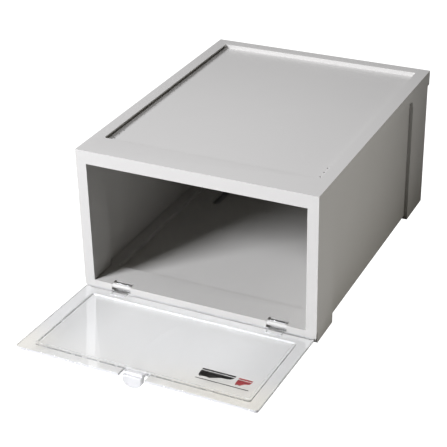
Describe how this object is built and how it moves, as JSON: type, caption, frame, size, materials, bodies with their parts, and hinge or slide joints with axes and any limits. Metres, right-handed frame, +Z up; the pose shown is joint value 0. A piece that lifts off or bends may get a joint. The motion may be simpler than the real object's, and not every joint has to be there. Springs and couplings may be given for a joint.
{
  "type": "drop-front shoe box",
  "caption": "Stackable moulded shoe box with a clear drop-front door on clip-on hinges, a recessed top and corner columns that end in feet.",
  "frame": {"origin": "bottom centre of the whole outline, with the door lying open, on the surface the box stands on", "axes": "+X to the right seen from the door's side, +Y from the door towards the back, +Z up"},
  "size_m": [0.25, 0.4542, 0.155],
  "materials": {
    "casing": "light grey moulded plastic, fine satin texture, softened edges",
    "clear_plastic": "clear glossy polystyrene with polished edges",
    "print_dark": "near-black screen print on the door's outer face",
    "print_red": "muted red screen print on the door's outer face"
  },
  "bodies": {
    "casing": {"top_panel": "casing", "floor_panel": "casing", "left_side_panel": "casing", "right_side_panel": "casing", "back_panel": "casing"},
    "door": {"door_panel": "clear_plastic", "left_hinge_clip": "clear_plastic", "right_hinge_clip": "clear_plastic", "pull_tab": "clear_plastic"}
  },
  "joints": [
    {"name": "door_hinge", "type": "hinge", "parent": "casing", "child": "door", "pos_m": [0, -0.09234, 0.0097], "axis": [-1, 0, 0], "range_deg": [0, 87.5]}
  ]
}
